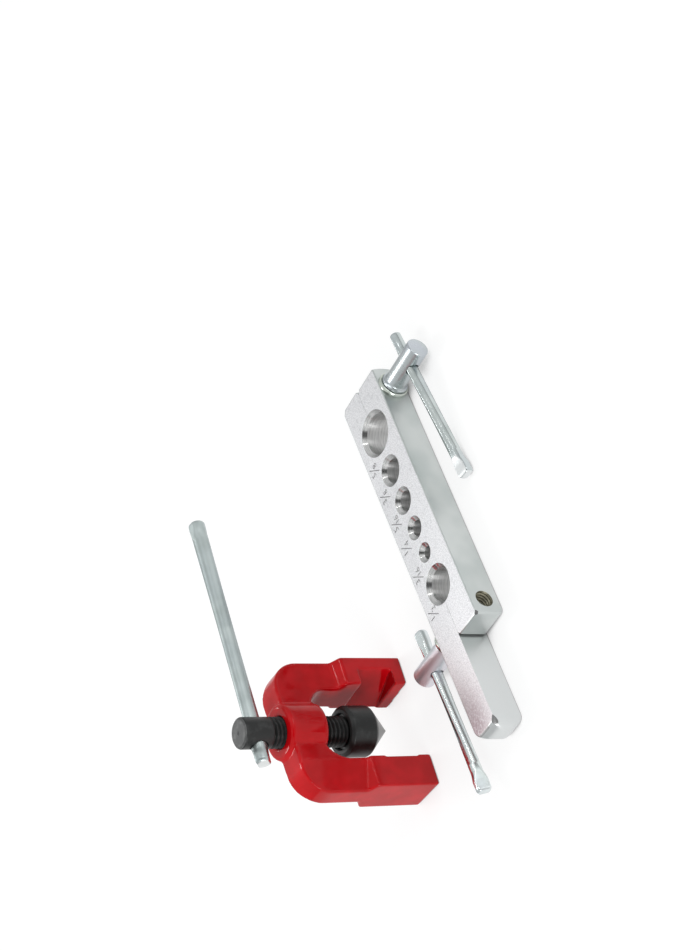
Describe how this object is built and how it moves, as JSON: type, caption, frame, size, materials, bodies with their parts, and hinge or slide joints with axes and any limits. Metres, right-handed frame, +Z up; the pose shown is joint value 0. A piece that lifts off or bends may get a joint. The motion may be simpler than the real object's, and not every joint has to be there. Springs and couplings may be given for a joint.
{
  "type": "flaring tool",
  "caption": "Tube flaring tool: a split bar with countersunk tube holes clamped by T-handle screws, and a twist-on yoke whose feed screw drives a cone.",
  "frame": {"origin": "middle of the long half bar's back face, which lies on the bench", "axes": "+Z up, out of the bar's front face and along the feed screw; +X along the bar from its square end to its tail; +Y from the long half of the bar to the short half"},
  "size_m": [0.1735, 0.1101, 0.0738],
  "materials": {
    "bar_steel": "satin nickel, blasted on the front face",
    "zinc_plate": "bright zinc plate",
    "screw_steel": "turned and plated",
    "black_oxide": "black oxide, cone ground bright",
    "red_enamel": "gloss enamel",
    "hardened_steel": "ground"
  },
  "bodies": {
    "long_half": {"long_bar": "bar_steel", "front_guide_pin": "hardened_steel", "rear_guide_pin": "hardened_steel", "lower_clamp_washer": "zinc_plate"},
    "short_half": {"short_bar": "bar_steel", "upper_clamp_washer": "zinc_plate"},
    "upper_clamp": {"upper_clamp_screw": "screw_steel"},
    "upper_tommy": {"upper_tommy_bar": "zinc_plate"},
    "lower_clamp": {"lower_clamp_screw": "screw_steel"},
    "lower_tommy": {"lower_tommy_bar": "zinc_plate"},
    "yoke": {"yoke_frame": "red_enamel"},
    "cone": {"flaring_cone": "black_oxide", "cone_retaining_ring": "hardened_steel", "thrust_ball": "hardened_steel"},
    "feed": {"feed_screw": "black_oxide"},
    "feed_tommy": {"feed_tommy_bar": "zinc_plate"}
  },
  "joints": [
    {"name": "bar_opening", "type": "slide", "parent": "long_half", "child": "short_half", "axis": [0, 1, 0], "range_m": [0, 0.00508]},
    {"name": "upper_clamp_turn", "type": "hinge", "parent": "short_half", "child": "upper_clamp", "pos_m": [-0.0694, 0.02, 0.00615], "axis": [0, 1, 0], "range_deg": [0, 1440]},
    {"name": "upper_tommy_slide", "type": "slide", "parent": "upper_clamp", "child": "upper_tommy", "axis": [0.9977, 0, -0.068], "range_m": [-0.0441, 0.0011]},
    {"name": "lower_clamp_turn", "type": "hinge", "parent": "long_half", "child": "lower_clamp", "pos_m": [0.0343, -0.0066, 0.00615], "axis": [0, -1, 0], "range_deg": [0, 1440]},
    {"name": "lower_tommy_slide", "type": "slide", "parent": "lower_clamp", "child": "lower_tommy", "axis": [1, 0, 0], "range_m": [-0.0427, 0.0025]},
    {"name": "yoke_lift", "type": "slide", "parent": "long_half", "child": "yoke", "axis": [0, 0, 1], "range_m": [0, 0.1]},
    {"name": "cone_travel", "type": "slide", "parent": "yoke", "child": "cone", "axis": [0, 0, 1], "range_m": [-0.00467, 0.01006]},
    {"name": "feed_screw_turn", "type": "hinge", "parent": "cone", "child": "feed", "pos_m": [0.0384, -0.0571, 0.0667], "axis": [0, 0, 1], "range_deg": [-960, 2070]},
    {"name": "feed_tommy_slide", "type": "slide", "parent": "feed", "child": "feed_tommy", "axis": [0.9966, -0.0819, 0], "range_m": [-0.0009, 0.0813]}
  ],
  "couplings": [
    {"joint": "upper_clamp_turn", "follows": "bar_opening", "rad_per_m": 4947.4},
    {"joint": "lower_clamp_turn", "follows": "bar_opening", "rad_per_m": 4947.4},
    {"joint": "cone_travel", "follows": "feed_screw_turn", "m_per_rad": 0.00027852}
  ]
}
